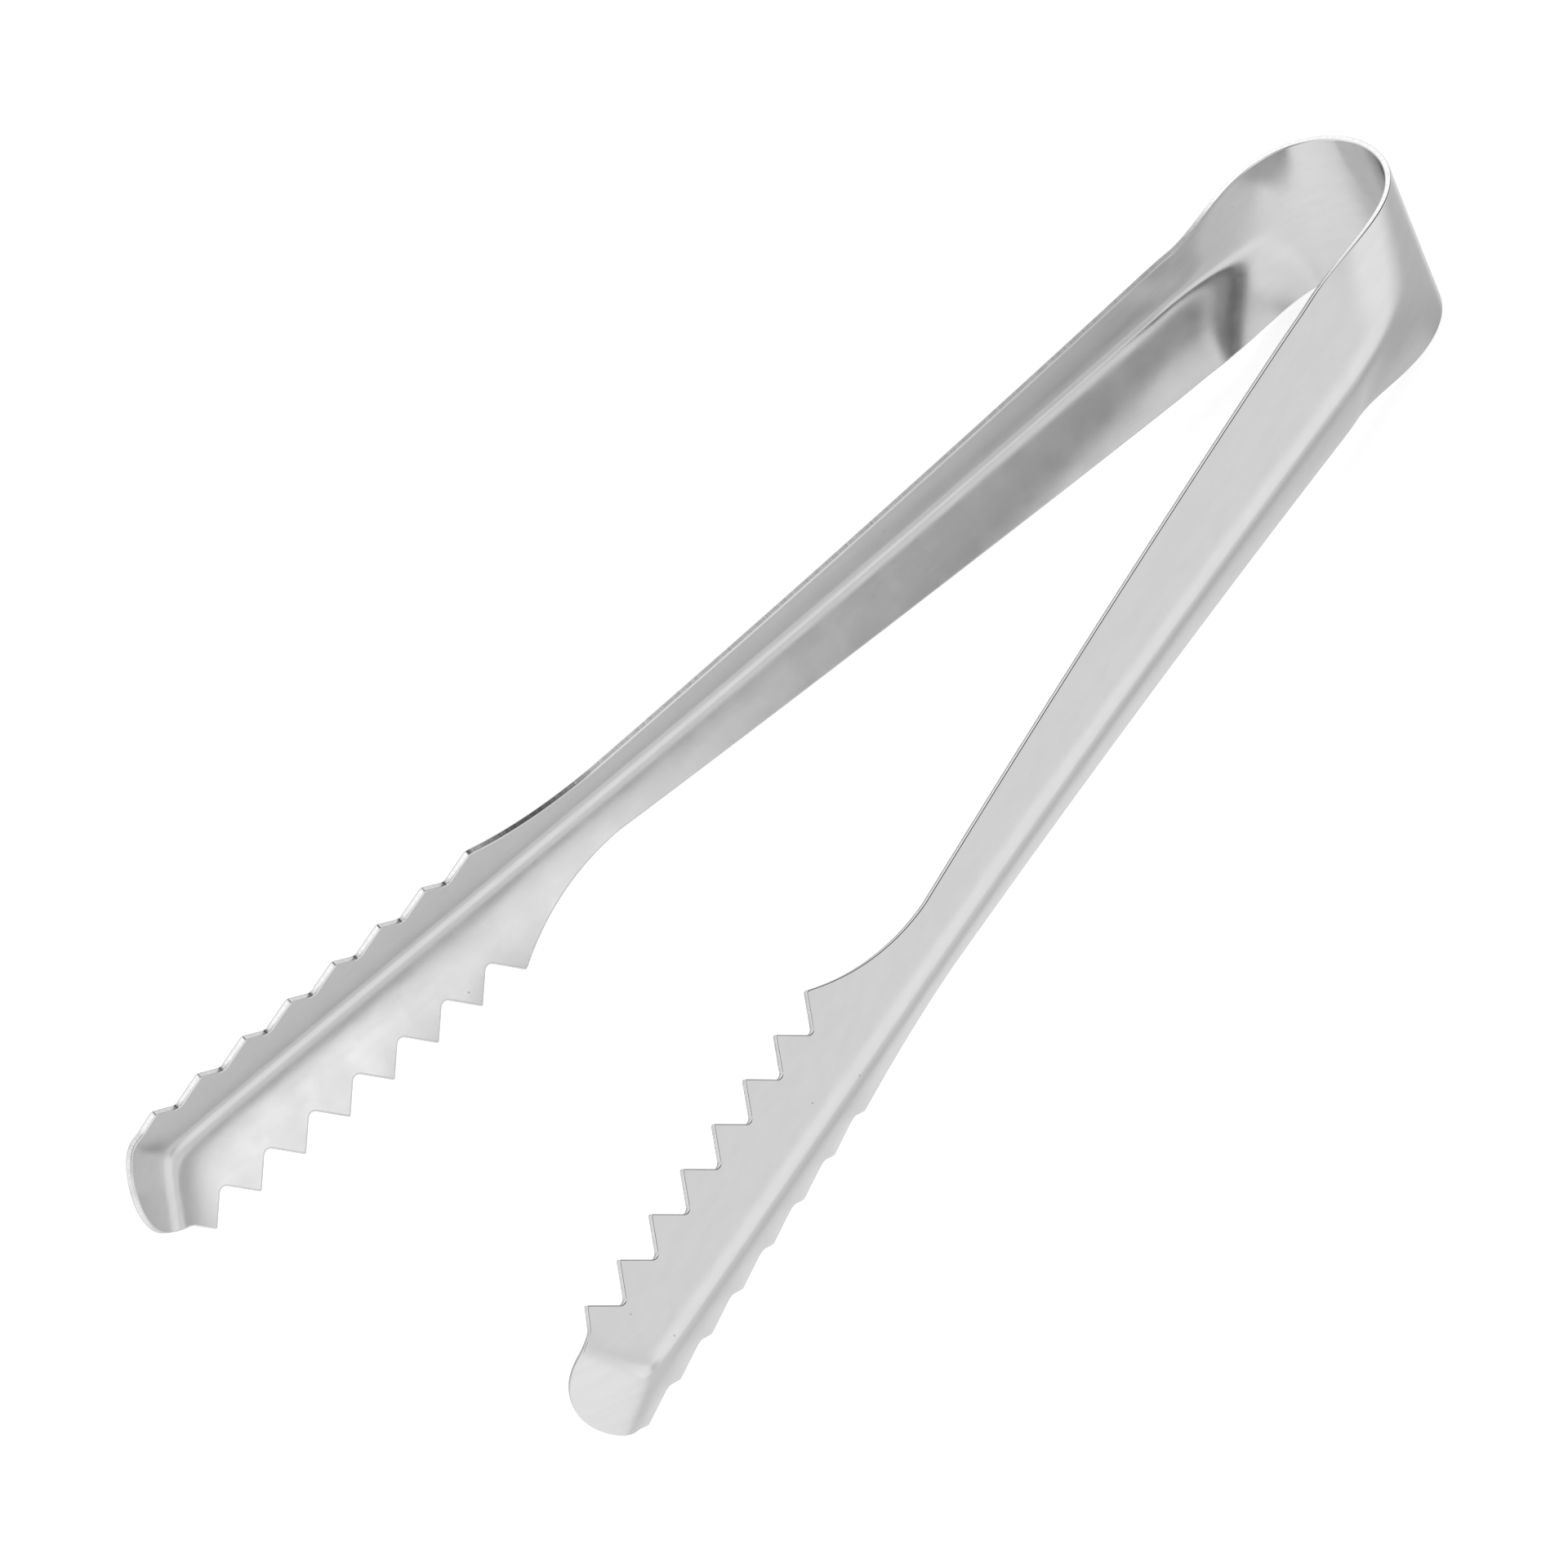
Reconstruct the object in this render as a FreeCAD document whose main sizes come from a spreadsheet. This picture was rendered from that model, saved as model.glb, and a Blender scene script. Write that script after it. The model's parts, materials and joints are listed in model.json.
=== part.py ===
"""Ice tongs: one strip of spring steel bent into a bow, with a folded V arm, jaw and tip on each side.

Frame: +Z runs across the strip, the bow's axis is the Z axis, and the arms run towards -X.
The right arm is on +Y and the left arm is the same shape turned half a turn about X.
The strip is split where it flexes, so the bow and the two arms are separate sub-parts.
"""
import FreeCAD, Part
import math
import os
import Sketcher
from FreeCAD import Matrix, Placement, Rotation, Vector

SIZES = {
    "sheet_thickness": 0.8,
    "strip_width": 20.2,
    "bow_inner_radius": 9.5,
    "bow_half_angle": 58.5,
    "flex_gap": 0.12,
    "shoulder_radius": 50.6,
    "spread_angle": 7.2,
    "jaw_angle": 9.6,
    "fold_length": 18.0,
    "neck_tilt": 27.3,
    "jaw_tilt": 30.3,
    "ridge_radius": 2.2,
    "taper_start": 29.6,
    "waist_width": 10.8,
    "flare_radius": 32.7,
    "jaw_width": 21.6,
    "first_tooth": 135.0,
    "tooth_pitch": 6.46,
    "tooth_count": 8,
    "tooth_depth": 3.2,
    "tooth_root_radius": 0.6,
    "tip_bend": 50.0,
    "tip_length": 9.2,
    "tip_round_radius": 7.4,
}

SHANK_SECTIONS = 25

document = FreeCAD.newDocument("ice_tongs")
sheet = document.addObject("Spreadsheet::Sheet", "sizes")


def fill_sheet():
    """Write one row per size: its name, its value, and the name again as the value's alias."""
    for row, (name, value) in enumerate(SIZES.items(), start=1):
        sheet.set(f"A{row}", name)
        sheet.set(f"B{row}", str(value))
        sheet.setAlias(f"B{row}", name)
    document.recompute()


def size(name):
    """Read a size from the sheet."""
    return float(sheet.get(name))


def bow_radius():
    """Radius of the strip's middle surface around the bow."""
    return size("bow_inner_radius") + size("sheet_thickness") / 2


def flare():
    """Where the strip is narrowest, and the angle its edge sweeps from there to the first tooth."""
    rise = (size("jaw_width") - size("waist_width")) / 2
    sweep = math.acos(1 - rise / size("flare_radius"))
    return size("first_tooth") - size("flare_radius") * math.sin(sweep), sweep


# ---- The ridge: the middle line of the strip, from the crown of the bow to the tip ----------

def ridge_arcs():
    """Length and radius of the arcs that the ridge follows from the crown to the waist."""
    bow_turn = math.radians(size("bow_half_angle"))
    shoulder_turn = math.radians(90 - size("spread_angle")) - bow_turn
    bow_length = bow_radius() * bow_turn
    shoulder_length = size("shoulder_radius") * shoulder_turn
    arm_length = flare()[0] - bow_length - shoulder_length
    arm_turn = math.radians(size("spread_angle") - size("jaw_angle"))
    return [
        (bow_length, bow_radius()),
        (shoulder_length, size("shoulder_radius")),
        (arm_length, arm_length / arm_turn),
    ]


def ridge(distance):
    """Point on the ridge, its direction towards the tip, and the direction into the tongs."""
    point, turned = Vector(bow_radius(), 0, 0), 0.0
    for length, radius in ridge_arcs():
        step = min(distance, length)
        swept = turned + step / radius
        point += Vector(math.cos(swept) - math.cos(turned), math.sin(swept) - math.sin(turned), 0) * radius
        turned = swept
        distance -= step
    forward = Vector(-math.sin(turned), math.cos(turned), 0)
    inward = Vector(-math.cos(turned), -math.sin(turned), 0)
    return point + forward * distance, forward, inward


def last_tooth():
    """Distance along the ridge to the last tooth, where the tip is bent in."""
    return size("first_tooth") + size("tooth_pitch") * (size("tooth_count") - 1)


def fraction(value, start, end):
    """How far value is from start to end, held between 0 and 1."""
    return min(max((value - start) / (end - start), 0), 1)


def fold_end():
    """Distance along the ridge where the strip is fully folded to a V."""
    return ridge_arcs()[0][0] + size("fold_length")


def flank_tilt(distance):
    """Tilt of each flank in degrees: flat at the bow, folding smoothly to a V at the neck."""
    folded = fraction(distance, ridge_arcs()[0][0], fold_end())
    along_arm = fraction(distance, fold_end(), flare()[0])
    full_tilt = size("neck_tilt") + (size("jaw_tilt") - size("neck_tilt")) * along_arm
    return full_tilt * folded * folded * (3 - 2 * folded)


def half_width(distance):
    """Half-width along the sheet: a parallel strip, then a straight taper to the waist."""
    wide, narrow = size("strip_width") / 2, size("waist_width") / 2
    return wide + (narrow - wide) * fraction(distance, size("taper_start"), flare()[0])


# ---- The V cross-section ---------------------------------------------------------------------

def crease_half_width():
    """Half-width of the band of sheet that is bent to form the ridge."""
    return size("ridge_radius") * math.radians(size("jaw_tilt"))


def surface_points(origin, inward, reach, tilt, offset):
    """Edge, bend, ridge, bend and edge of one surface of the V, from -Z to +Z.

    reach is the half-width along the sheet, tilt the flanks' angle from Z in degrees and
    offset the surface's distance out from the middle of the sheet.
    """
    angle, crease = math.radians(tilt), crease_half_width()

    def point(along):
        bent = min(abs(along), crease)
        flat = abs(along) - bent
        turn = angle * bent / crease
        chord = bent * math.sin(turn / 2) / (turn / 2) if turn else bent
        across = chord * math.cos(turn / 2) + flat * math.cos(turn) + offset * math.sin(turn)
        depth = chord * math.sin(turn / 2) + flat * math.sin(turn) - offset * math.cos(turn)
        return origin + inward * depth + Vector(0, 0, math.copysign(across, along))

    return [point(along) for along in (-reach, -crease, 0, crease, reach)]


def surface_edges(points):
    """Flank, rounded ridge and flank through the points of one surface."""
    start, bend, ridge_point, other_bend, end = points
    straight = (bend + other_bend - ridge_point * 2).Length < 1e-6
    if straight:
        rounded = Part.makeLine(bend, other_bend)
    else:
        rounded = Part.Arc(bend, ridge_point, other_bend).toShape()
    return [Part.makeLine(start, bend), rounded, Part.makeLine(other_bend, end)]


def v_section(origin, inward, reach, tilt):
    """Closed outline of the sheet, cut across at right angles to the ridge."""
    half = size("sheet_thickness") / 2
    outer = surface_points(origin, inward, reach, tilt, half)
    inner = surface_points(origin, inward, reach, tilt, -half)[::-1]
    high_edge = Part.makeLine(outer[-1], inner[0])
    low_edge = Part.makeLine(inner[-1], outer[0])
    return Part.Wire(surface_edges(outer) + [high_edge] + surface_edges(inner) + [low_edge])


# ---- Building blocks -------------------------------------------------------------------------

def axes_placement(origin, x_axis, y_axis):
    """Placement of a local frame with these X and Y axes."""
    z_axis = x_axis.cross(y_axis)
    matrix = Matrix(x_axis.x, y_axis.x, z_axis.x, origin.x,
                    x_axis.y, y_axis.y, z_axis.y, origin.y,
                    x_axis.z, y_axis.z, z_axis.z, origin.z,
                    0, 0, 0, 1)
    return Placement(matrix)


def shape_feature(name, shape):
    """A feature whose shape is made with Part's own functions."""
    feature = document.addObject("Part::Feature", name)
    feature.Shape = shape
    return feature


def boolean(kind, name, base, tool):
    """A Part::Cut, Part::Fuse or Part::Common of two objects."""
    feature = document.addObject(f"Part::{kind}", name)
    feature.Base = base
    feature.Tool = tool
    return feature


def sketched_body(name):
    """A body with an empty sketch on its own XY plane."""
    body = document.addObject("PartDesign::Body", name)
    sketch = body.newObject("Sketcher::SketchObject", f"{name}_sketch")
    plane = next(item for item in body.Origin.OriginFeatures if item.Role == "XY_Plane")
    sketch.AttachmentSupport = [(plane, "")]
    sketch.MapMode = "FlatFace"
    return body, sketch


def constrain(sketch, *constraints):
    """Add geometric constraints, each given as the arguments of Sketcher.Constraint."""
    for constraint in constraints:
        sketch.addConstraint(Sketcher.Constraint(*constraint))


def dimension(sketch, name, constraint, expression):
    """Add a named dimension and bind it to the sheet."""
    index = sketch.addConstraint(Sketcher.Constraint(*constraint))
    sketch.renameConstraint(index, name)
    sketch.setExpression(f"Constraints.{name}", expression)


def join_ends(sketch, count):
    """Join the end of each edge to the start of the next, round a closed outline."""
    for edge in range(count):
        constrain(sketch, ("Coincident", edge, 2, (edge + 1) % count, 1))


def pad(body, sketch, name, expression):
    """Pad a sketch by the same amount each way."""
    feature = body.newObject("PartDesign::Pad", name)
    feature.Profile = sketch
    feature.SideType = "Symmetric"
    feature.setExpression("Length", expression)
    sketch.Visibility = False
    document.recompute()
    return feature


ORIGIN = (-1, 1)
X_AXIS = -1


def line(start, end):
    """A sketch line between two (x, y) pairs."""
    return Part.LineSegment(Vector(*start, 0), Vector(*end, 0))


def arc(centre, radius, start_angle, end_angle):
    """A sketch arc, counter-clockwise, with its angles in radians."""
    circle = Part.Circle(Vector(*centre, 0), Vector(0, 0, 1), radius)
    return Part.ArcOfCircle(circle, start_angle, end_angle)


# ---- The bow ---------------------------------------------------------------------------------

def build_bow():
    """The bow: the flat strip bent round a cylinder, which is the spring of the tongs."""
    body, sketch = sketched_body("bow")
    inner, outer = size("bow_inner_radius"), size("bow_inner_radius") + size("sheet_thickness")
    half_angle = math.radians(size("bow_half_angle"))
    corner = Vector(math.cos(half_angle), math.sin(half_angle), 0)
    sketch.addGeometry([
        arc((0, 0), outer, -half_angle, half_angle),
        arc((0, 0), inner, -half_angle, half_angle),
        line((inner * corner.x, inner * corner.y), (outer * corner.x, outer * corner.y)),
        line((inner * corner.x, -inner * corner.y), (outer * corner.x, -outer * corner.y)),
    ])
    outer_arc, inner_arc, high_end, low_end = range(4)
    constrain(
        sketch,
        ("Coincident", outer_arc, 3, *ORIGIN),
        ("Coincident", inner_arc, 3, *ORIGIN),
        ("Coincident", high_end, 1, inner_arc, 2),
        ("Coincident", high_end, 2, outer_arc, 2),
        ("Coincident", low_end, 1, inner_arc, 1),
        ("Coincident", low_end, 2, outer_arc, 1),
        ("PointOnObject", *ORIGIN, high_end),
        ("PointOnObject", *ORIGIN, low_end),
        ("Vertical", inner_arc, 1, inner_arc, 2),
    )
    dimension(sketch, "inner_radius", ("Radius", inner_arc, inner), "sizes.bow_inner_radius")
    dimension(sketch, "outer_radius", ("Radius", outer_arc, outer),
              "sizes.bow_inner_radius + sizes.sheet_thickness")
    dimension(sketch, "half_angle", ("Angle", high_end, half_angle), "sizes.bow_half_angle * 1deg")
    body.Tip = pad(body, sketch, "bow_pad", "sizes.strip_width")
    return body


# ---- The arms --------------------------------------------------------------------------------

def shank(name):
    """The arm from the bow to the waist: a flat strip that folds to a V as it leaves the bow."""
    start = ridge_arcs()[0][0] + size("flex_gap")
    spacing = (flare()[0] - start) / (SHANK_SECTIONS - 1)
    sections = []
    for count in range(SHANK_SECTIONS):
        station = start + spacing * count
        point, _, inward = ridge(station)
        sections.append(v_section(point, inward, half_width(station), flank_tilt(station)))
    return shape_feature(name, Part.makeLoft(sections, True, False))


def jaw_blank(name):
    """The jaw before its edges are cut: a straight V, wider than the teeth and past the tip bend."""
    point, forward, inward = ridge(flare()[0])
    length = last_tooth() + size("tip_length") - flare()[0]
    blank = Part.Face(v_section(point, inward, size("jaw_width") / 2 + 2, size("jaw_tilt")))
    return shape_feature(name, blank.extrude(forward * length))


def flank_placement(side):
    """Frame in a flank's middle surface at the first tooth's point: X forward, Y to the edge."""
    point, forward, inward = ridge(size("first_tooth"))
    edge = surface_points(point, inward, size("jaw_width") / 2, size("jaw_tilt"), 0)[-1]
    tilt = math.radians(size("jaw_tilt"))
    outline = inward * math.sin(tilt) + Vector(0, 0, math.cos(tilt) * side)
    return axes_placement(Vector(edge.x, edge.y, edge.z * side), forward, outline)


CUT_THROUGH = "sizes.sheet_thickness * 6"


def flare_cutter(name, side):
    """Everything outside the concave edge that runs from the waist out to the first tooth."""
    body, sketch = sketched_body(name)
    radius, (waist, sweep) = size("flare_radius"), flare()
    length = size("first_tooth") - waist
    centre = (-length, radius * math.cos(sweep))
    clear = size("tooth_depth")
    low = (-length, centre[1] - radius)
    sketch.addGeometry([
        arc(centre, radius, -math.pi / 2, sweep - math.pi / 2),
        line((0, 0), (0, clear)),
        line((0, clear), (-length, clear)),
        line((-length, clear), low),
    ])
    edge, tooth_side, top, waist_side = range(4)
    join_ends(sketch, 4)
    constrain(
        sketch,
        ("Coincident", edge, 2, *ORIGIN),
        ("Vertical", tooth_side),
        ("Horizontal", top),
        ("Vertical", waist_side),
        ("PointOnObject", edge, 3, waist_side),
    )
    dimension(sketch, "flare", ("Radius", edge, radius), "sizes.flare_radius")
    dimension(sketch, "rise", ("DistanceY", edge, 1, edge, 2, -low[1]),
              "(sizes.jaw_width - sizes.waist_width) / 2")
    dimension(sketch, "clear", ("DistanceY", tooth_side, 1, tooth_side, 2, clear), "sizes.tooth_depth")
    body.Tip = pad(body, sketch, f"{name}_pad", CUT_THROUGH)
    body.Placement = flank_placement(side)
    return body


def notch_cutter(name, side):
    """The V-shaped gaps between the teeth: one gap with a rounded root, repeated along the jaw."""
    body, sketch = sketched_body(name)
    pitch, depth, root = size("tooth_pitch"), size("tooth_depth"), size("tooth_root_radius")
    middle, centre = pitch / 2, root - depth
    reach = math.hypot(middle, centre)
    slope = math.asin(root / reach) + math.atan2(-centre, middle)
    left = (middle - root * math.sin(slope), centre - root * math.cos(slope))
    right = (pitch - left[0], left[1])
    sketch.addGeometry([
        line((0, 0), left),
        arc((middle, centre), root, -math.pi / 2 - slope, slope - math.pi / 2),
        line(right, (pitch, 0)),
        line((pitch, 0), (pitch, depth)),
        line((pitch, depth), (0, depth)),
        line((0, depth), (0, 0)),
    ])
    fall, bottom, climb, next_tooth, top, tooth = range(6)
    constrain(
        sketch,
        ("Tangent", fall, 2, bottom, 1),
        ("Tangent", bottom, 2, climb, 1),
        ("Coincident", climb, 2, next_tooth, 1),
        ("Coincident", next_tooth, 2, top, 1),
        ("Coincident", top, 2, tooth, 1),
        ("Coincident", tooth, 2, fall, 1),
        ("Coincident", fall, 1, *ORIGIN),
        ("PointOnObject", climb, 2, X_AXIS),
        ("Equal", fall, climb),
        ("Vertical", next_tooth),
        ("Horizontal", top),
        ("Vertical", tooth),
    )
    dimension(sketch, "pitch", ("DistanceX", fall, 1, climb, 2, pitch), "sizes.tooth_pitch")
    dimension(sketch, "root", ("Radius", bottom, root), "sizes.tooth_root_radius")
    dimension(sketch, "root_height", ("DistanceY", bottom, 3, *ORIGIN, -centre),
              "sizes.tooth_depth - sizes.tooth_root_radius")
    dimension(sketch, "clear", ("DistanceY", next_tooth, 1, next_tooth, 2, depth), "sizes.tooth_depth")
    one_notch = pad(body, sketch, f"{name}_pad", CUT_THROUGH)
    repeat = body.newObject("PartDesign::LinearPattern", f"{name}_pattern")
    repeat.Originals = [one_notch]
    repeat.Direction = (sketch, ["H_Axis"])
    repeat.setExpression("Occurrences", "sizes.tooth_count")
    repeat.setExpression("Length", "sizes.tooth_pitch * (sizes.tooth_count - 1)")
    body.Tip = repeat
    body.Placement = flank_placement(side)
    return body


def tip_frame():
    """Placement of the tip: X along it from the bend, Y across the strip, Z out of the tongs."""
    point, forward, inward = ridge(last_tooth())
    bend = math.radians(size("tip_bend"))
    along = forward * math.cos(bend) + inward * math.sin(bend)
    return axes_placement(point, along, Vector(0, 0, 1))


def tip_plate(name):
    """The tip: a flat plate with a rounded end, carried back past the bend to be trimmed there."""
    body, sketch = sketched_body(name)
    radius, reach = size("tip_round_radius"), size("tip_length")
    centre, back = (reach - radius, 0), -radius / 2
    sketch.addGeometry([
        arc(centre, radius, -math.pi / 2, math.pi / 2),
        line((centre[0], radius), (back, radius)),
        line((back, radius), (back, -radius)),
        line((back, -radius), (centre[0], -radius)),
    ])
    end, high, base, low = range(4)
    constrain(
        sketch,
        ("Tangent", end, 2, high, 1),
        ("Coincident", high, 2, base, 1),
        ("Coincident", base, 2, low, 1),
        ("Tangent", low, 2, end, 1),
        ("PointOnObject", end, 3, X_AXIS),
        ("Horizontal", high),
        ("Horizontal", low),
        ("Vertical", base),
    )
    dimension(sketch, "round", ("Radius", end, radius), "sizes.tip_round_radius")
    dimension(sketch, "reach", ("DistanceX", *ORIGIN, end, 3, centre[0]),
              "sizes.tip_length - sizes.tip_round_radius")
    dimension(sketch, "back", ("DistanceX", base, 1, *ORIGIN, -back), "sizes.tip_round_radius / 2")
    body.Tip = pad(body, sketch, f"{name}_pad", "sizes.sheet_thickness")
    body.Placement = tip_frame()
    return body


def channel(name):
    """The space inside the V's outer surface, around the tip bend."""
    point, forward, inward = ridge(last_tooth())
    back, length = size("tip_round_radius"), size("tip_round_radius") * 3
    outer = surface_points(point - forward * back, inward, size("jaw_width") / 2 + 2,
                           size("jaw_tilt"), size("sheet_thickness") / 2)
    deeper = inward * size("tip_length")
    mouth = Part.makePolygon([outer[-1], outer[-1] + deeper, outer[0] + deeper, outer[0]])
    profile = Part.Face(Part.Wire(surface_edges(outer) + mouth.Edges))
    return shape_feature(name, profile.extrude(forward * length))


def beyond_tip(name):
    """A block on the outer side of the tip's plate, which trims the jaw at the bend."""
    block = document.addObject("Part::Box", name)
    for side in ("Length", "Width"):
        block.setExpression(side, "sizes.jaw_width * 2")
    block.setExpression("Height", "sizes.jaw_width")
    centring = Vector(-size("jaw_width"), -size("jaw_width"), size("sheet_thickness") / 2)
    block.Placement = tip_frame() * Placement(centring, Rotation())
    return block


def build_arm(name, turn):
    """One arm with its jaw and tip, modelled on the right and turned about X into its place."""
    jaw = jaw_blank(f"{name}_jaw_blank")
    for side, flank in ((1, "high"), (-1, "low")):
        for cutter in (flare_cutter, notch_cutter):
            cut_name = f"{name}_{flank}_{cutter.__name__}"
            jaw = boolean("Cut", f"{cut_name}_cut", jaw, cutter(cut_name, side))
    jaw = boolean("Cut", f"{name}_jaw", jaw, beyond_tip(f"{name}_beyond_tip"))
    tip = boolean("Common", f"{name}_tip", tip_plate(f"{name}_tip_plate"), channel(f"{name}_channel"))
    gripper = boolean("Fuse", f"{name}_gripper", jaw, tip)
    arm = boolean("Fuse", name, shank(f"{name}_shank"), gripper)
    arm.Refine = True
    arm.Placement = Placement(Vector(), Rotation(Vector(1, 0, 0), turn))
    return arm


# ---- Build, check and write ------------------------------------------------------------------

def check_document(sub_parts):
    """Stop if any object failed, or if a sub-part isn't one valid solid."""
    for item in document.Objects:
        if {"Invalid", "Error"} & set(item.State):
            raise RuntimeError(f"{item.Name} failed: {item.State}")
    for name, item in sub_parts.items():
        if item.Shape.isNull() or not item.Shape.isValid() or len(item.Shape.Solids) != 1:
            raise RuntimeError(f"{name} isn't one valid solid")


def build():
    """Build the sub-parts and write one STEP file for each."""
    fill_sheet()
    sub_parts = {
        "bow": build_bow(),
        "right_arm": build_arm("right_arm", 0),
        "left_arm": build_arm("left_arm", 180),
    }
    document.recompute()
    check_document(sub_parts)
    os.makedirs("parts", exist_ok=True)
    for name, item in sub_parts.items():
        item.Label = name
        item.Shape.exportStep(f"parts/{name}.step")


build()
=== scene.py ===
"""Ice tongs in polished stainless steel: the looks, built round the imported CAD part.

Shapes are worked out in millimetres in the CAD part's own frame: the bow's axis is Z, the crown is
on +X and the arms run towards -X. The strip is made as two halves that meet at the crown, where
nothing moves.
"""
import json
import math

import bpy
import numpy as np
from mathutils import Matrix, Vector


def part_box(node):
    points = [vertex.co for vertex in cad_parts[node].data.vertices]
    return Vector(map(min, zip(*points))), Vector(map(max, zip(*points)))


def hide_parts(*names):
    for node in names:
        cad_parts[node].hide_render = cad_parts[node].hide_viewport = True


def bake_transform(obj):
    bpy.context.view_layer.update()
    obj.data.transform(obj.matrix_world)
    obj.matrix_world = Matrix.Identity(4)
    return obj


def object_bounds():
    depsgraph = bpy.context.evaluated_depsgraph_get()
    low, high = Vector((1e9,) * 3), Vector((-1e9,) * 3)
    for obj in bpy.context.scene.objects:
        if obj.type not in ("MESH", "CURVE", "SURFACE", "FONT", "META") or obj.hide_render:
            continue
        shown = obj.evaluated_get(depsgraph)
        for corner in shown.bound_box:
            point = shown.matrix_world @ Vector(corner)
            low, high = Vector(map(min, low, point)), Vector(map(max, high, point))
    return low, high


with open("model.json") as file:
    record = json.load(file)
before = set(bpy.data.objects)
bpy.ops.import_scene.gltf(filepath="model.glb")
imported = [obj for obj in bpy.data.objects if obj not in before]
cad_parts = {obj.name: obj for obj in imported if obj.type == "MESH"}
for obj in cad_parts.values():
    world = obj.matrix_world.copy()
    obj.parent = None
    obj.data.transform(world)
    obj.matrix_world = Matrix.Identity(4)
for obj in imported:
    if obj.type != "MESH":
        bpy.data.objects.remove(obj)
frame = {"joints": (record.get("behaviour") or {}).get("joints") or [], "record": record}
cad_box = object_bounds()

MM = 0.001

# ---- Sizes, in millimetres and radians ---------------------------------------------------------

bow_eye = next(mount for mount in frame["record"]["mounts"] if mount["name"] == "bow_eye")
right_hinge = next(joint for joint in frame["joints"] if joint["child"] == "right_arm")
bow_low, bow_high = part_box("bow")

THICKNESS = bow_high.x / MM - bow_eye["dims"]["r_mm"]
STRIP_WIDTH = (bow_high.z - bow_low.z) / MM
BOW_RADIUS = bow_high.x / MM - THICKNESS / 2
BOW_ANGLE = math.atan2(right_hinge["pos_m"][1], right_hinge["pos_m"][0])

# The CAD part has these sizes too. Distances along the strip are measured from the crown.
SHOULDER_RADIUS = 50.6
SPREAD_ANGLE = math.radians(7.2)
JAW_ANGLE = math.radians(9.6)
FOLD_LENGTH = 18.0
NECK_TILT = math.radians(27.3)
JAW_TILT = math.radians(30.3)
RIDGE_RADIUS = 2.2
TAPER_START = 29.6
WAIST_WIDTH = 10.8
FLARE_RADIUS = 32.7
JAW_WIDTH = 21.6
FIRST_TOOTH = 135.0
TOOTH_PITCH = 6.46
TOOTH_COUNT = 8
TOOTH_DEPTH = 3.2

# Only the looks have these, where the real strip is softer or rounder than the CAD part.
NECK_CREASE = 1.3
JAW_CREASE = 1.65
CREASE_EASE = (45.0, 135.0)
TAPER_EASE = 6.0
TOOTH_ROOT_RADIUS = 0.75
TOOTH_POINT_RADIUS = 0.22
TIP_BENDS = {"right_arm": math.radians(41.5), "left_arm": math.radians(47.0)}
TIP_LENGTH = 9.25
TIP_ROUND_RADIUS = 7.6
TIP_SOFTNESS = 1.7
CORNER_SOFTNESS = 0.2
EDGE_RADIUS = 0.2
BLEND_LENGTH = 20.0

LAST_TOOTH = FIRST_TOOTH + TOOTH_PITCH * (TOOTH_COUNT - 1)
CREASE = RIDGE_RADIUS * JAW_TILT

FLARE_SWEEP = math.acos(1 - (JAW_WIDTH - WAIST_WIDTH) / 2 / FLARE_RADIUS)
WAIST = FIRST_TOOTH - FLARE_RADIUS * math.sin(FLARE_SWEEP)

BOW_LENGTH = BOW_RADIUS * BOW_ANGLE
SHOULDER_LENGTH = SHOULDER_RADIUS * (math.pi / 2 - SPREAD_ANGLE - BOW_ANGLE)
ARM_LENGTH = WAIST - BOW_LENGTH - SHOULDER_LENGTH
RIDGE_ARCS = (
    (BOW_LENGTH, BOW_RADIUS),
    (SHOULDER_LENGTH, SHOULDER_RADIUS),
    (ARM_LENGTH, ARM_LENGTH / (SPREAD_ANGLE - JAW_ANGLE)),
)


# ---- The sheet's middle surface ----------------------------------------------------------------

def smooth_step(value, start, end):
    """0 before start, 1 after end, and an even S between them."""
    share = np.clip((value - start) / (end - start), 0, 1)
    return share * share * (3 - 2 * share)


def smooth_max(first, second, softness):
    """The larger of two, with their meeting rounded over the given difference."""
    near = np.maximum(softness - np.abs(first - second), 0)
    return np.maximum(first, second) + near * near / (4 * softness)


def ridge(distance):
    """Points on the strip's middle line, with the directions to the tip and into the tongs."""
    left = np.array(distance, float)
    x, y, turned = np.full_like(left, BOW_RADIUS), np.zeros_like(left), np.zeros_like(left)
    for length, radius in RIDGE_ARCS:
        step = np.minimum(left, length)
        swept = turned + step / radius
        x += radius * (np.cos(swept) - np.cos(turned))
        y += radius * (np.sin(swept) - np.sin(turned))
        turned = swept
        left = left - step
    level = np.zeros_like(left)
    forward = np.stack([-np.sin(turned), np.cos(turned), level], -1)
    inward = np.stack([-np.cos(turned), -np.sin(turned), level], -1)
    return np.stack([x, y, level], -1) + forward * left[..., None], forward, inward


FLAT_TILT = 1e-5


def flank_tilt(distance):
    """Tilt of each flank from Z: next to none on the bow, folding to a V at the neck."""
    fold_end = BOW_LENGTH + FOLD_LENGTH
    along_arm = np.clip((distance - fold_end) / (WAIST - fold_end), 0, 1)
    full = NECK_TILT + (JAW_TILT - NECK_TILT) * along_arm
    return np.maximum(full * smooth_step(distance, BOW_LENGTH, fold_end), FLAT_TILT)


def crease_width(distance):
    """How far the V's bottom is rounded either side: more at the jaws than at the neck."""
    return NECK_CREASE + (JAW_CREASE - NECK_CREASE) * smooth_step(distance, *CREASE_EASE)


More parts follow.
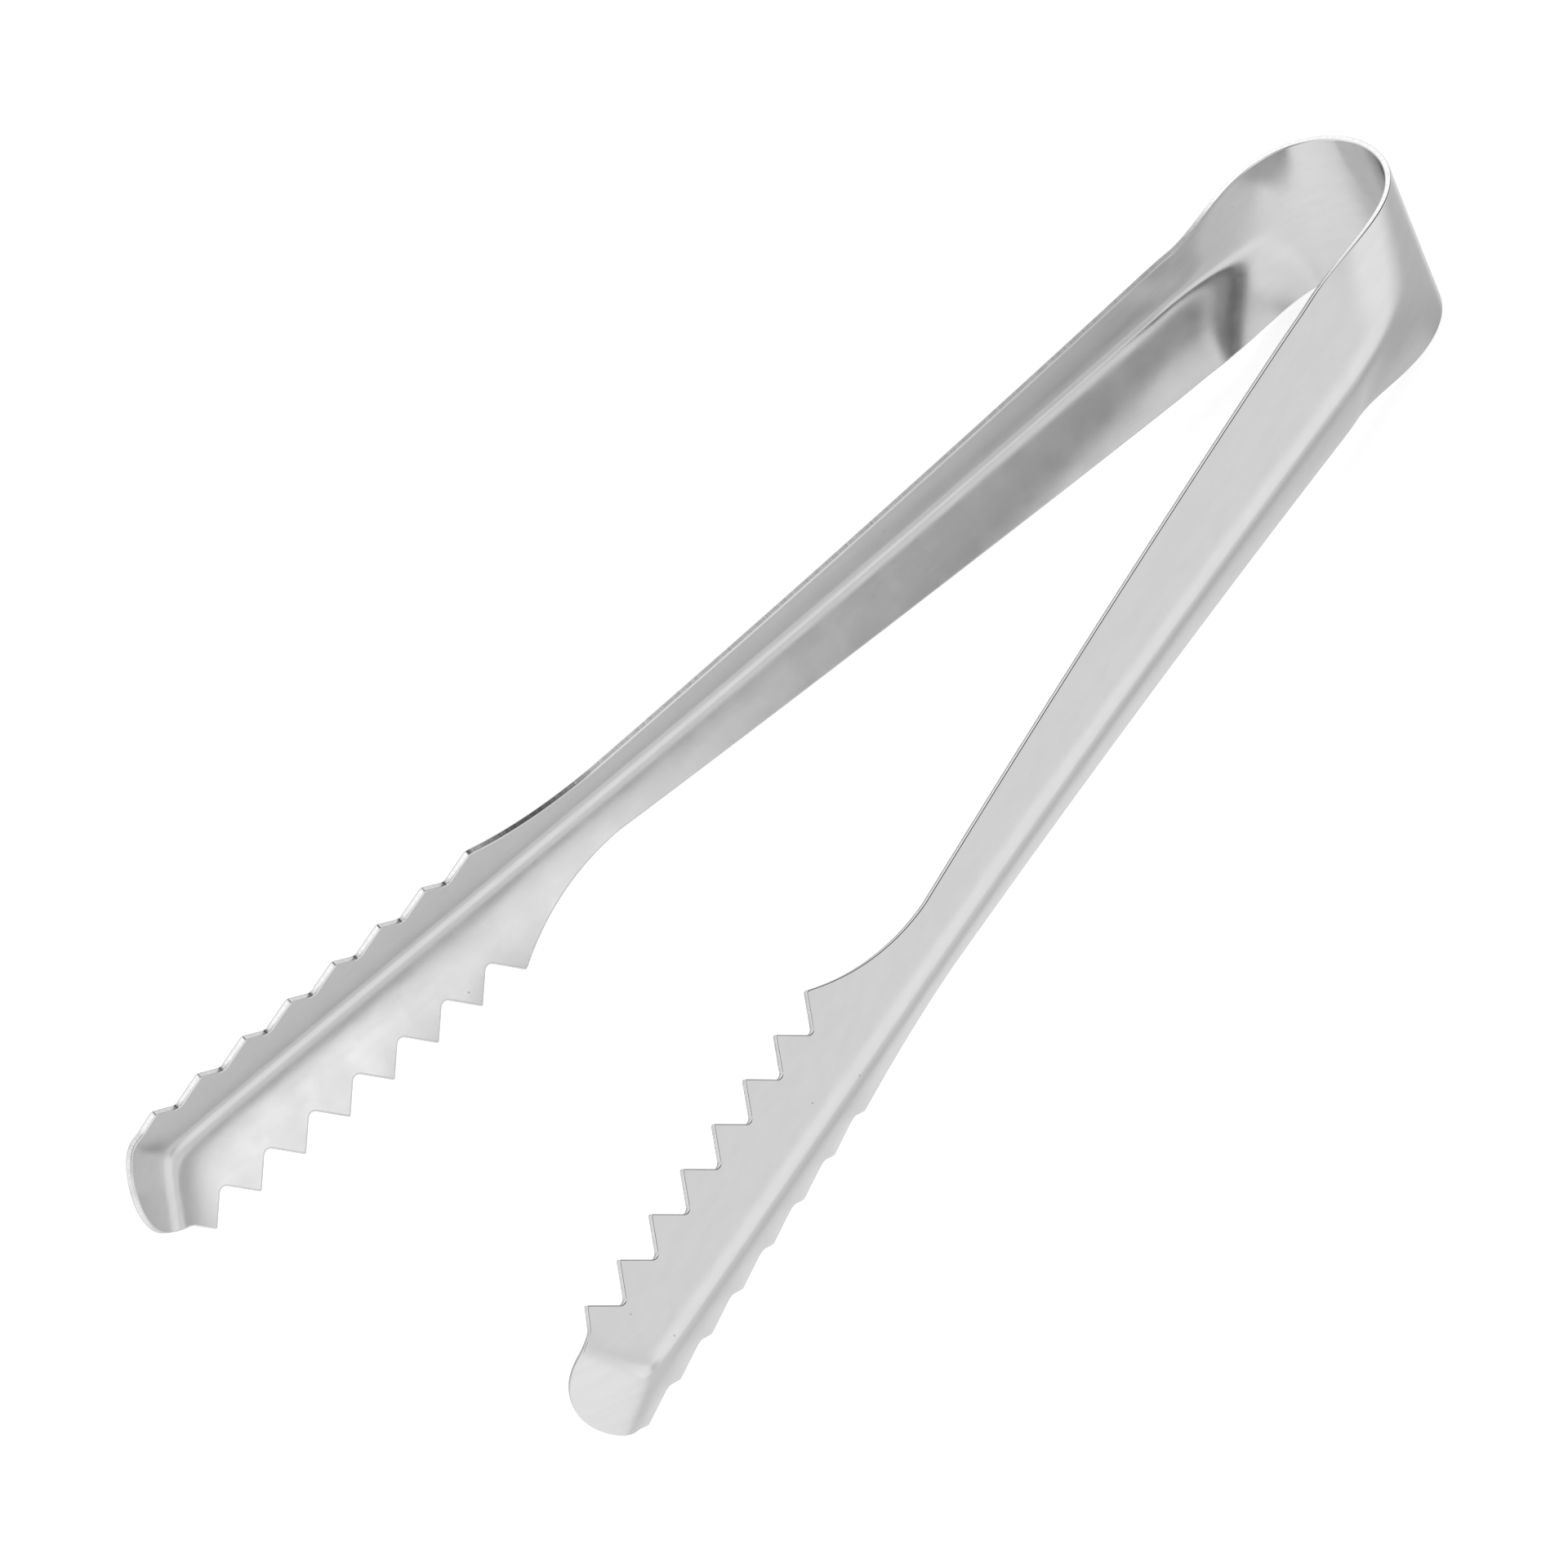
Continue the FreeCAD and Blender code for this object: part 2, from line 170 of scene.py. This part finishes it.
def depth(distance, across, tip_bend):
    """How far the middle surface lies inside the ridge line: a rounded V, then the tip's plate."""
    tilt = flank_tilt(distance)
    apex = CREASE / tilt * (1 / np.cos(tilt) - 1)
    folded = np.tan(tilt) * np.hypot(across, crease_width(distance)) - apex
    tip = (distance - LAST_TOOTH) * math.tan(tip_bend)
    return (folded + tip + np.hypot(folded - tip, TIP_SOFTNESS)) / 2


def surface(distance, across, tip_bend):
    """Points of the middle surface."""
    point, _, inward = ridge(distance)
    level = np.zeros_like(across)
    up = np.stack([level, level, across], -1)
    return point + inward * depth(distance, across, tip_bend)[..., None] + up


def unit(vectors):
    """Vectors scaled to length 1."""
    return vectors / np.linalg.norm(vectors, axis=-1, keepdims=True)


def dot(first, second):
    """Dot product of each pair of vectors."""
    return (first * second).sum(-1)


SLOPE_STEP = 1e-4


def slopes(distance, across, tip_bend):
    """How the middle surface runs along the strip and across it."""
    ahead = surface(distance + SLOPE_STEP, across, tip_bend)
    behind = surface(distance - SLOPE_STEP, across, tip_bend)
    above = surface(distance, across + SLOPE_STEP, tip_bend)
    below = surface(distance, across - SLOPE_STEP, tip_bend)
    return (ahead - behind) / (2 * SLOPE_STEP), (above - below) / (2 * SLOPE_STEP)


def outward(distance, across, tip_bend):
    """The middle surface's normal, pointing out of the tongs."""
    along, over = slopes(distance, across, tip_bend)
    return unit(np.cross(along, over))


# ---- The strip's outline -----------------------------------------------------------------------

TOOTH_SLOPE = (
    math.asin(TOOTH_ROOT_RADIUS / math.hypot(TOOTH_PITCH / 2, TOOTH_DEPTH - TOOTH_ROOT_RADIUS))
    + math.atan2(TOOTH_DEPTH - TOOTH_ROOT_RADIUS, TOOTH_PITCH / 2)
)


def notch(along):
    """Depth of the tooth edge below the points' line, at distances along from a point."""
    from_point = np.minimum(along, TOOTH_PITCH - along)
    from_root = TOOTH_PITCH / 2 - from_point
    drop = from_point * math.tan(TOOTH_SLOPE)
    point_centre = TOOTH_POINT_RADIUS / math.cos(TOOTH_SLOPE)
    point_arc = point_centre - np.sqrt(np.maximum(TOOTH_POINT_RADIUS**2 - from_point**2, 0))
    root_centre = TOOTH_DEPTH - TOOTH_ROOT_RADIUS
    root_arc = root_centre + np.sqrt(np.maximum(TOOTH_ROOT_RADIUS**2 - from_root**2, 0))
    drop = np.where(from_point < TOOTH_POINT_RADIUS * math.sin(TOOTH_SLOPE), point_arc, drop)
    return np.where(from_root < TOOTH_ROOT_RADIUS * math.sin(TOOTH_SLOPE), root_arc, drop)


def sheet_reach(distance):
    """Half-width along the sheet, from the crown to just beyond the last tooth."""
    eased = distance - TAPER_START
    ramp = smooth_max(eased, np.zeros_like(eased), TAPER_EASE)
    taper = np.minimum(ramp / (WAIST - TAPER_START), 1)
    shank = STRIP_WIDTH / 2 + (WAIST_WIDTH - STRIP_WIDTH) / 2 * taper
    from_waist = np.clip(distance - WAIST, 0, FIRST_TOOTH - WAIST)
    flare = FLARE_RADIUS - np.sqrt(FLARE_RADIUS**2 - from_waist**2)
    along_teeth = np.maximum(distance - FIRST_TOOTH, 0)
    tooth = np.minimum(np.floor(along_teeth / TOOTH_PITCH), TOOTH_COUNT - 1)
    teeth = JAW_WIDTH / 2 - notch(along_teeth - tooth * TOOTH_PITCH)
    return np.where(distance < FIRST_TOOTH, shank + flare, teeth)


def edge_height(distance):
    """Height of the edge above the ridge's plane, where the edge is on a flank."""
    tilt = flank_tilt(distance)
    bend = CREASE / tilt * np.sin(tilt)
    return bend + (sheet_reach(distance) - CREASE) * np.cos(tilt)


# How many edge points each stretch has, with both of its ends counted.
BOW_STATIONS = 46
FOLD_STATIONS = 80
SHANK_STATIONS = 110
FLARE_STATIONS = 50
TOOTH_ROUND_STATIONS = 5
TOOTH_FLANK_STATIONS = 7
TIP_STATIONS = 70

# The least distance from the last edge point on a flank to the first on the tip's round end.
TIP_GAP = 0.1


def tooth_stations():
    """Distances from a tooth's point to the next, close together where the edge is rounded."""
    point_end = TOOTH_POINT_RADIUS * math.sin(TOOTH_SLOPE)
    root_end = TOOTH_PITCH / 2 - TOOTH_ROOT_RADIUS * math.sin(TOOTH_SLOPE)
    turn = np.linspace(0, TOOTH_SLOPE, TOOTH_ROUND_STATIONS)
    point = TOOTH_POINT_RADIUS * np.sin(turn)
    flank = np.linspace(point_end, root_end, TOOTH_FLANK_STATIONS)[1:-1]
    root = TOOTH_PITCH / 2 - TOOTH_ROOT_RADIUS * np.sin(turn[::-1])
    falling = np.concatenate([point, flank, root])
    return np.concatenate([falling, TOOTH_PITCH - falling[-2:0:-1]])


def side_outline():
    """Distance and height of the edge on a flank, from the crown to beyond the last tooth."""
    taper = TAPER_START + TAPER_EASE
    stations = [
        np.linspace(0, BOW_LENGTH, BOW_STATIONS)[:-1],
        np.linspace(BOW_LENGTH, taper, FOLD_STATIONS)[:-1],
        np.linspace(taper, WAIST, SHANK_STATIONS)[:-1],
        np.linspace(WAIST, FIRST_TOOTH, FLARE_STATIONS)[:-1],
    ]
    for tooth in range(TOOTH_COUNT):
        stations.append(FIRST_TOOTH + TOOTH_PITCH * tooth + tooth_stations())
    distance = np.concatenate(stations)
    return distance, edge_height(distance)


def tip_outline(tip_bend):
    """Distance and height of the tip's round end, from its side to its end."""
    angle = np.linspace(math.pi / 2, 0, TIP_STATIONS)
    along = TIP_LENGTH - TIP_ROUND_RADIUS + TIP_ROUND_RADIUS * np.cos(angle)
    return LAST_TOOTH + along * math.cos(tip_bend), TIP_ROUND_RADIUS * np.sin(angle)


def edge_path(tip_bend):
    """Distance and height of the edge from the crown to the tip's end, and where its ribs start.

    A rib is a line over the sheet from the ridge to an edge point. It starts level with that point,
    except that the tip's ribs all fan out from one place.
    """
    side, side_height = side_outline()
    tip, tip_height = tip_outline(tip_bend)
    plate = np.interp(side, tip, tip_height, left=TIP_ROUND_RADIUS)
    joined = smooth_max(side_height, plate, CORNER_SOFTNESS)
    joined = np.where(side > LAST_TOOTH, joined, side_height)
    keep = side < LAST_TOOTH + TOOTH_PITCH / 2
    fan_start = side[keep][-1]
    beyond = tip > fan_start + TIP_GAP
    distance = np.concatenate([side[keep], tip[beyond]])
    height = np.concatenate([joined[keep], tip_height[beyond]])
    return distance, height, np.minimum(distance, fan_start)


# ---- Meshes ------------------------------------------------------------------------------------

RIB_STEPS = 20
RIB_CROWDING = 1.5
ROUND_STEPS = 3
CUT_FACE_COLUMN = RIB_STEPS + ROUND_STEPS
WELD_DECIMALS = 5


def edge_directions(distance, height, tip_bend):
    """At each edge point, the way out of the tongs and the way out past the cut edge."""
    along, over = slopes(distance, height, tip_bend)
    run = np.gradient(np.stack([distance, height], -1), axis=0)
    tangent = unit(along * run[:, :1] + over * run[:, 1:])
    # The tip's end runs straight across the strip.
    tangent[-1] = unit(over[-1]) * -1
    facing = outward(distance, height, tip_bend)
    return facing, unit(np.cross(tangent, facing)) * -1


def inset_edge(distance, height, past_edge, tip_bend):
    """Distance and height of the line where the sheet's flat face gives way to its rounded edge."""
    along, over = slopes(distance, height, tip_bend)
    gram = np.stack([
        np.stack([dot(along, along), dot(along, over)], -1),
        np.stack([dot(along, over), dot(over, over)], -1),
    ], -2)
    aim = np.stack([dot(past_edge, along), dot(past_edge, over)], -1)
    inset = np.linalg.solve(gram, aim[..., None])[..., 0] * EDGE_RADIUS
    # The line never runs back towards the crown, so that no two ribs cross.
    return np.maximum.accumulate(distance - inset[:, 0]), height - inset[:, 1]


def rounded_edge(edge, facing, past_edge):
    """Points and normals round the edge's two corners, from the outer face to the inner one."""
    middle = edge - past_edge * EDGE_RADIUS
    quarter = np.linspace(0, math.pi / 2, ROUND_STEPS + 1)[1:]
    points, normals = [], []
    for face, turns in ((1, quarter), (-1, quarter[::-1])):
        centre = middle + facing * (THICKNESS / 2 - EDGE_RADIUS) * face
        for turn in turns:
            lean = past_edge * math.sin(turn) + facing * math.cos(turn) * face
            points.append(centre + lean * EDGE_RADIUS)
            normals.append(lean)
    return np.stack(points, 1), np.stack(normals, 1)


def rib_points(tip_bend):
    """Points, normals and strip places, in a row for each rib: over the outer face and back inside.

    A strip place is a distance along the strip and a height. The materials are laid out by it.
    """
    distance, height, start = edge_path(tip_bend)
    facing, past_edge = edge_directions(distance, height, tip_bend)
    inner_distance, inner_height = inset_edge(distance, height, past_edge, tip_bend)

    share = (np.arange(RIB_STEPS + 1) / RIB_STEPS) ** RIB_CROWDING
    rib_distance = start[:, None] + (inner_distance - start)[:, None] * share
    rib_height = inner_height[:, None] * share
    middle = surface(rib_distance, rib_height, tip_bend)
    normal = outward(rib_distance, rib_height, tip_bend)
    outer, inner = middle + normal * (THICKNESS / 2), middle - normal * (THICKNESS / 2)

    edge = surface(distance, height, tip_bend)
    edge_points, edge_normals = rounded_edge(edge, facing, past_edge)
    edge_place = np.stack([distance, height], -1)
    edge_places = np.repeat(edge_place[:, None], 2 * ROUND_STEPS, axis=1)
    rib_places = np.stack([rib_distance, rib_height], -1)

    points = np.concatenate([outer, edge_points, inner[:, ::-1]], 1)
    normals = np.concatenate([normal, edge_normals, -normal[:, ::-1]], 1)
    places = np.concatenate([rib_places, edge_places, rib_places[:, ::-1]], 1)
    return points, normals, places


def strip_faces(rows, columns, side):
    """Faces of the upper and lower flanks and of the crown's end, each with its cut-edge flag."""
    faces, cut = [], []
    for half, base in ((1, 0), (-1, rows * columns)):
        turned = half * side < 0
        for row in range(rows - 1):
            for column in range(columns - 1):
                corner = base + row * columns + column
                quad = (corner, corner + 1, corner + 1 + columns, corner + columns)
                faces.append(quad if turned else quad[::-1])
                cut.append(column == CUT_FACE_COLUMN)
        for column in range(columns // 2 - 1):
            other = columns - 1 - column
            quad = (base + column, base + other, base + other - 1, base + column + 1)
            faces.append(quad if turned else quad[::-1])
            cut.append(False)
    return faces, cut


def both_flanks(grid, upper_signs, lower_signs):
    """The grid's values in one list for the upper flank and then the lower, each with its signs."""
    flat = grid.reshape(-1, grid.shape[-1])
    return np.concatenate([flat * upper_signs, flat * lower_signs])


def strip_half(name, side, tip_bend, materials):
    """One half of the strip, from the crown to the tip, on +Y for side 1 and on -Y for side -1."""
    points, normals, places = rib_points(tip_bend)
    vertices = both_flanks(points, [1, side, 1], [1, side, -1])
    facing = both_flanks(normals, [1, side, 1], [1, side, -1])
    place = both_flanks(places, [1, 1], [1, -1])

    keep, index = weld(vertices)
    faces, cut = weld_faces(*strip_faces(*points.shape[:2], side), index)
    mesh = bpy.data.meshes.new(name)
    mesh.from_pydata([tuple(vertex) for vertex in vertices[keep] * MM], [], faces)
    mesh.polygons.foreach_set("use_smooth", [True] * len(faces))
    mesh.polygons.foreach_set("material_index", [int(flag) for flag in cut])
    strip_place = mesh.attributes.new("strip_place", "FLOAT_VECTOR", "POINT")
    flat = np.concatenate([place[keep], np.full((len(keep), 1), side)], 1)
    strip_place.data.foreach_set("vector", flat.astype(np.float32).ravel())
    mesh.normals_split_custom_set_from_vertices([tuple(normal) for normal in facing[keep]])
    for material in materials:
        mesh.materials.append(material)
    piece = bpy.data.objects.new(name, mesh)
    bpy.context.scene.collection.objects.link(piece)
    return piece


def weld(vertices):
    """Indices of the vertices to keep, and the kept one that each vertex becomes."""
    # Adding zero turns -0 into 0, so that the two count as one place.
    rounded = np.round(vertices, WELD_DECIMALS) + 0.0
    _, keep, index = np.unique(rounded, axis=0, return_index=True, return_inverse=True)
    return keep, index.ravel()


def weld_faces(faces, cut, index):
    """Faces with welded corners and their cut-edge flags, leaving out any that closed up."""
    welded, flags = [], []
    for face, flag in zip(faces, cut):
        corners = list(dict.fromkeys(int(index[corner]) for corner in face))
        if len(corners) > 2:
            welded.append(corners)
            flags.append(flag)
    return welded, flags


# ---- Materials ---------------------------------------------------------------------------------

# A strip place's third number is the half it is on, 1 or -1. Stretched patterns scale it by this,
# so that the two halves don't repeat each other.
HALVES_APART = 7.3


class Nodes:
    """A short way to add and link shader nodes."""

    def __init__(self, tree):
        self.tree = tree
        tree.nodes.clear()

    def add(self, kind, settings=None, **inputs):
        """Add a node with its settings and inputs, linking each input that is a node's socket."""
        node = self.tree.nodes.new("ShaderNode" + kind)
        for name, value in (settings or {}).items():
            setattr(node, name, value)
        for name, value in inputs.items():
            socket = self.find(node.inputs, name)
            if isinstance(value, bpy.types.NodeSocket):
                self.tree.links.new(value, socket)
            else:
                socket.default_value = value
        return node

    @staticmethod
    def find(sockets, name):
        """A socket by its name with _ for spaces, or by its number as in input_0."""
        if name.startswith("input_"):
            return sockets[int(name.removeprefix("input_"))]
        return sockets[name.replace("_", " ")]

    def maths(self, operation, first, second=0.0):
        """A maths node's result."""
        node = self.add("Math", {"operation": operation}, input_0=first, input_1=second)
        return node.outputs[0]

    def spread(self, value, low, high, to_low, to_high):
        """A value carried smoothly from one range to another."""
        node = self.add("MapRange", {"interpolation_type": "SMOOTHSTEP"}, Value=value, From_Min=low,
                        From_Max=high, To_Min=to_low, To_Max=to_high)
        return node.outputs[0]

    def stretched(self, place, along, across):
        """A strip place scaled along the strip and across it."""
        scaled = self.add("VectorMath", {"operation": "MULTIPLY"}, input_0=place,
                          input_1=(along, across, HALVES_APART))
        return scaled.outputs[0]

    def noise(self, vector, scale, detail, roughness):
        """A noise texture's value."""
        return self.add("TexNoise", Vector=vector, Scale=scale, Detail=detail,
                        Roughness=roughness).outputs[0]

    def mixed(self, share, first, second):
        """A grey between two greys, which go in the mix node's two colour sockets."""
        node = self.add("Mix", {"data_type": "RGBA"}, input_0=share, input_6=grey(first),
                        input_7=grey(second))
        return node.outputs[2]

    def bump(self, height, strength, distance, normal=None):
        """A bumped normal."""
        node = self.add("Bump", Height=height, Strength=strength, Distance=distance)
        if normal is not None:
            self.tree.links.new(normal, node.inputs["Normal"])
        return node.outputs[0]


def grey(value):
    """A grey colour."""
    return (value, value, value, 1.0)


def new_material(name):
    """An empty node material and its helper."""
    material = bpy.data.materials.new(name)
    material.use_nodes = True
    return material, Nodes(material.node_tree)


def metal(nodes, colour, rough, normal):
    """Finish a material as bare metal."""
    shader = nodes.add("BsdfPrincipled", Base_Color=colour, Metallic=1.0, Roughness=rough,
                       Normal=normal)
    nodes.add("OutputMaterial", Surface=shader.outputs[0])


NOISE_MIDDLE = 0.5


def scratches(nodes, place):
    """Sparse hairlines that run along the strip: 1 on a scratch and 0 off it."""
    lengthwise = nodes.stretched(place, along=1.0, across=14.0)
    hairs = nodes.noise(lengthwise, scale=0.8, detail=2.0, roughness=0.4)
    from_hair = nodes.maths("ABSOLUTE", nodes.maths("SUBTRACT", hairs, NOISE_MIDDLE))
    hair = nodes.spread(from_hair, low=0.0, high=0.006, to_low=1.0, to_high=0.0)
    patches = nodes.noise(place, scale=0.9, detail=1.0, roughness=0.4)
    sparse = nodes.spread(patches, low=0.58, high=0.68, to_low=0.0, to_high=1.0)
    return nodes.maths("MULTIPLY", hair, sparse)


def specks(nodes, place):
    """Small pits in about one cell of five: 1 in a pit and 0 off it."""
    cells = nodes.add("TexVoronoi", Vector=place, Scale=0.45)
    chance = nodes.add("SeparateColor", input_0=cells.outputs["Color"]).outputs[0]
    chosen = nodes.spread(chance, low=0.80, high=0.82, to_low=0.0, to_high=1.0)
    dots = nodes.spread(cells.outputs["Distance"], low=0.03, high=0.07, to_low=1.0, to_high=0.0)
    return nodes.maths("MULTIPLY", dots, chosen)


STEEL_TONE = 0.67
MARK_TONE = 0.36
GRAIN_ROUGHNESS = 0.04
SCRATCH_ROUGHNESS = 0.15
SCRATCH_MARK = 0.25
SPECK_MARK = 0.8
SPECK_HEIGHT = -2.0


def polished_steel():
    """Barrel-polished stainless sheet: a soft mirror with fine grain, scratches and specks."""
    material, nodes = new_material("polished_steel")
    place = nodes.add("Attribute", {"attribute_name": "strip_place"}).outputs["Vector"]
    rolled = nodes.stretched(place, along=0.35, across=6.0)
    grain = nodes.noise(rolled, scale=3.0, detail=4.0, roughness=0.6)
    wiped = nodes.stretched(place, along=0.5, across=1.6)
    smear = nodes.noise(wiped, scale=0.5, detail=2.0, roughness=0.5)
    cloud = nodes.noise(place, scale=0.22, detail=3.0, roughness=0.55)
    scratch = scratches(nodes, place)
    speck = specks(nodes, place)

    rough = nodes.spread(cloud, low=0.3, high=0.7, to_low=0.11, to_high=0.17)
    rough = nodes.maths("ADD", rough, nodes.maths("MULTIPLY", grain, GRAIN_ROUGHNESS))
    rough = nodes.maths("ADD", rough, nodes.maths("MULTIPLY", scratch, SCRATCH_ROUGHNESS))

    scratch_mark = nodes.maths("MULTIPLY", scratch, SCRATCH_MARK)
    marks = nodes.maths("MAXIMUM", scratch_mark, nodes.maths("MULTIPLY", speck, SPECK_MARK))
    smears = nodes.spread(smear, low=0.35, high=0.65, to_low=0.0, to_high=0.05)
    colour = nodes.mixed(nodes.maths("ADD", marks, smears), STEEL_TONE, MARK_TONE)

    swell = nodes.noise(place, scale=0.12, detail=1.0, roughness=0.4)
    waves = nodes.bump(swell, strength=0.05, distance=0.0004)
    texture = nodes.maths("ADD", grain, nodes.maths("MULTIPLY", speck, SPECK_HEIGHT))
    fine = nodes.bump(texture, strength=0.05, distance=0.00004, normal=waves)
    metal(nodes, colour, rough, fine)
    return material


SHEARED_TONE = 0.80
TORN_TONE = 0.45
CUT_SCALES = (9.0, 3.0)


def cut_steel():
    """The stamped edge: bright sheared metal, torn and grainy in patches."""
    material, nodes = new_material("cut_steel")
    place = nodes.add("Attribute", {"attribute_name": "strip_place"}).outputs["Vector"]
    finely, coarsely = (nodes.stretched(place, scale, scale) for scale in CUT_SCALES)
    tears = nodes.noise(finely, scale=1.0, detail=4.0, roughness=0.65)
    patches = nodes.noise(coarsely, scale=1.0, detail=2.0, roughness=0.5)
    torn = nodes.spread(tears, low=0.35, high=0.6, to_low=0.0, to_high=0.35)
    colour = nodes.mixed(torn, SHEARED_TONE, TORN_TONE)
    rough = nodes.spread(patches, low=0.3, high=0.7, to_low=0.13, to_high=0.24)
    metal(nodes, colour, rough, nodes.bump(tears, strength=0.35, distance=0.0001))
    return material


TABLE_GLOW = 0.55
PAPER_TONES = (0.90, 0.92)
SHADE_SHARE = 0.45


def light_table():
    """The pale floor: matt paper that also glows, so that shadows on it are faint.

    In the steel's reflections it carries the room's light on below the horizon.
    """
    material, nodes = new_material("light_table")
    place = nodes.add("TexCoord").outputs["Object"]
    fibres = nodes.noise(place, scale=900.0, detail=3.0, roughness=0.6)
    darkest, palest = PAPER_TONES
    tone = nodes.spread(fibres, low=0.3, high=0.7, to_low=darkest, to_high=palest)
    colour = nodes.add("CombineColor", input_0=tone, input_1=tone, input_2=tone).outputs[0]
    paper = nodes.add("BsdfDiffuse", Color=colour)
    glow = nodes.add("Emission", Strength=TABLE_GLOW)
    seen = nodes.add("AddShader", input_0=paper.outputs[0], input_1=glow.outputs[0])

    incoming = nodes.add("NewGeometry").outputs["Incoming"]
    look = nodes.add("VectorMath", {"operation": "SCALE"}, input_0=incoming, Scale=-1.0).outputs[0]
    light = nodes.maths("SUBTRACT", room_light(nodes, look), SHADE_SHARE)
    shade = nodes.add("BsdfDiffuse", Color=grey(SHADE_SHARE))
    lit = nodes.add("Emission", Strength=light)
    reflected = nodes.add("AddShader", input_0=shade.outputs[0], input_1=lit.outputs[0])
    camera = nodes.add("LightPath").outputs["Is Camera Ray"]
    both = nodes.add("MixShader", input_0=camera, input_1=reflected.outputs[0],
                     input_2=seen.outputs[0])
    nodes.add("OutputMaterial", Surface=both.outputs[0])
    return material


# ---- The tongs ---------------------------------------------------------------------------------

def ridge_place(distance, side):
    """A point of the ridge line, in metres."""
    point = ridge(distance)[0]
    return Vector((point[0], point[1] * side, point[2])) * MM


def build_tongs():
    """Both halves of the strip, put in place of the CAD part's bow and arms."""
    materials = [polished_steel(), cut_steel()]
    for name, arm, side in (("strip_right", "right_arm", 1), ("strip_left", "left_arm", -1)):
        piece = strip_half(name, side, TIP_BENDS[arm], materials)
        ridge_place(0, side)
        ridge_place(BLEND_LENGTH, side)
        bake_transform(piece)
        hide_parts(arm, "bow")


# ---- Floor, light and camera -------------------------------------------------------------------

# In metres.
FLOOR_REACH = 6.0
FLOOR_GAP = 0.0001


def build_floor():
    """A wide pale floor that the tongs lie on."""
    low = cad_box[0].z - FLOOR_GAP
    signs = ((-1, -1), (1, -1), (1, 1), (-1, 1))
    corners = [(x * FLOOR_REACH, y * FLOOR_REACH, low) for x, y in signs]
    mesh = bpy.data.meshes.new("floor")
    mesh.from_pydata(corners, [], [(0, 1, 2, 3)])
    mesh.materials.append(light_table())
    floor = bpy.data.objects.new("floor", mesh)
    bpy.context.scene.collection.objects.link(floor)


def direction(azimuth, elevation):
    """Unit direction at degrees round from +X towards +Y, and up from level."""
    turn, rise = math.radians(azimuth), math.radians(elevation)
    return (math.cos(turn) * math.cos(rise), math.sin(turn) * math.cos(rise), math.sin(rise))


# The camera sees the backdrop. The steel reflects the room, with its soft panels.
BACKDROP = 1.05
ROOM = 0.95
PANELS = (
    # In degrees: azimuth, elevation, full within, gone beyond. Then the extra light.
    (55, 42, 25, 50, 0.5),
    (-18, 44, 22, 38, -0.90),
    (160, 18, 12, 30, 0.4),
    (-105, 22, 20, 23, 0.50),
    (-76, 12, 4, 9, -0.27),
    (-47, -22, 10, 24, 0.23),
    (-126.6, 39.5, 12, 30, -0.80),
    (70, 0, 20, 50, -0.35),
    (2, -42, 8, 24, -0.22),
    (-89, -29, 12, 19, 0.22),
    (-68, -32, 4, 10, -0.22),
    (-150, -40, 20, 50, 0.25),
)


def room_light(nodes, look):
    """How bright the room is in a direction: even, apart from brighter and darker soft panels."""
    light = ROOM
    for azimuth, elevation, inner, outer, gain in PANELS:
        towards = nodes.add("VectorMath", {"operation": "DOT_PRODUCT"}, input_0=look,
                            input_1=direction(azimuth, elevation)).outputs["Value"]
        gone, full = math.cos(math.radians(outer)), math.cos(math.radians(inner))
        extra = nodes.spread(towards, low=gone, high=full, to_low=0.0, to_high=gain)
        light = nodes.maths("ADD", extra, light)
    return light


def build_room():
    """The studio around the tongs."""
    world = bpy.data.worlds.new("studio")
    world.use_nodes = True
    bpy.context.scene.world = world
    nodes = Nodes(world.node_tree)
    look = nodes.add("TexCoord").outputs["Generated"]
    camera = nodes.add("LightPath").outputs["Is Camera Ray"]
    seen = nodes.add("Mix", input_0=camera, input_2=room_light(nodes, look), input_3=BACKDROP)
    background = nodes.add("Background", Color=grey(1.0), Strength=seen.outputs[0])
    nodes.add("OutputWorld", Surface=background.outputs[0])


# In metres, with the directions of the picture's right and top, and the lens in millimetres.
CAMERA_PLACE = (-0.5462, -0.7363, 0.7473)
CAMERA_RIGHT = (0.6260, -0.7097, -0.3232)
CAMERA_UP = (0.6709, 0.2788, 0.6872)
CAMERA_LENS = 242.3
SENSOR_WIDTH = 36.0
NEAREST_SEEN = 0.01
FARTHEST_SEEN = 20.0


def build_camera():
    """A long lens, seen from above one arm and rolled so that the tongs lie across the picture."""
    camera = bpy.data.objects.new("camera", bpy.data.cameras.new("camera"))
    bpy.context.scene.collection.objects.link(camera)
    right = Vector(CAMERA_RIGHT).normalized()
    back = right.cross(Vector(CAMERA_UP)).normalized()
    up = back.cross(right)
    turn = Matrix((right, up, back)).transposed()
    camera.matrix_world = Matrix.Translation(CAMERA_PLACE) @ turn.to_4x4()
    camera.data.lens = CAMERA_LENS
    camera.data.sensor_width = SENSOR_WIDTH
    camera.data.clip_start = NEAREST_SEEN
    camera.data.clip_end = FARTHEST_SEEN
    bpy.context.scene.camera = camera


build_tongs()
build_floor()
build_room()
build_camera()
bpy.context.scene.view_settings.view_transform = "Standard"
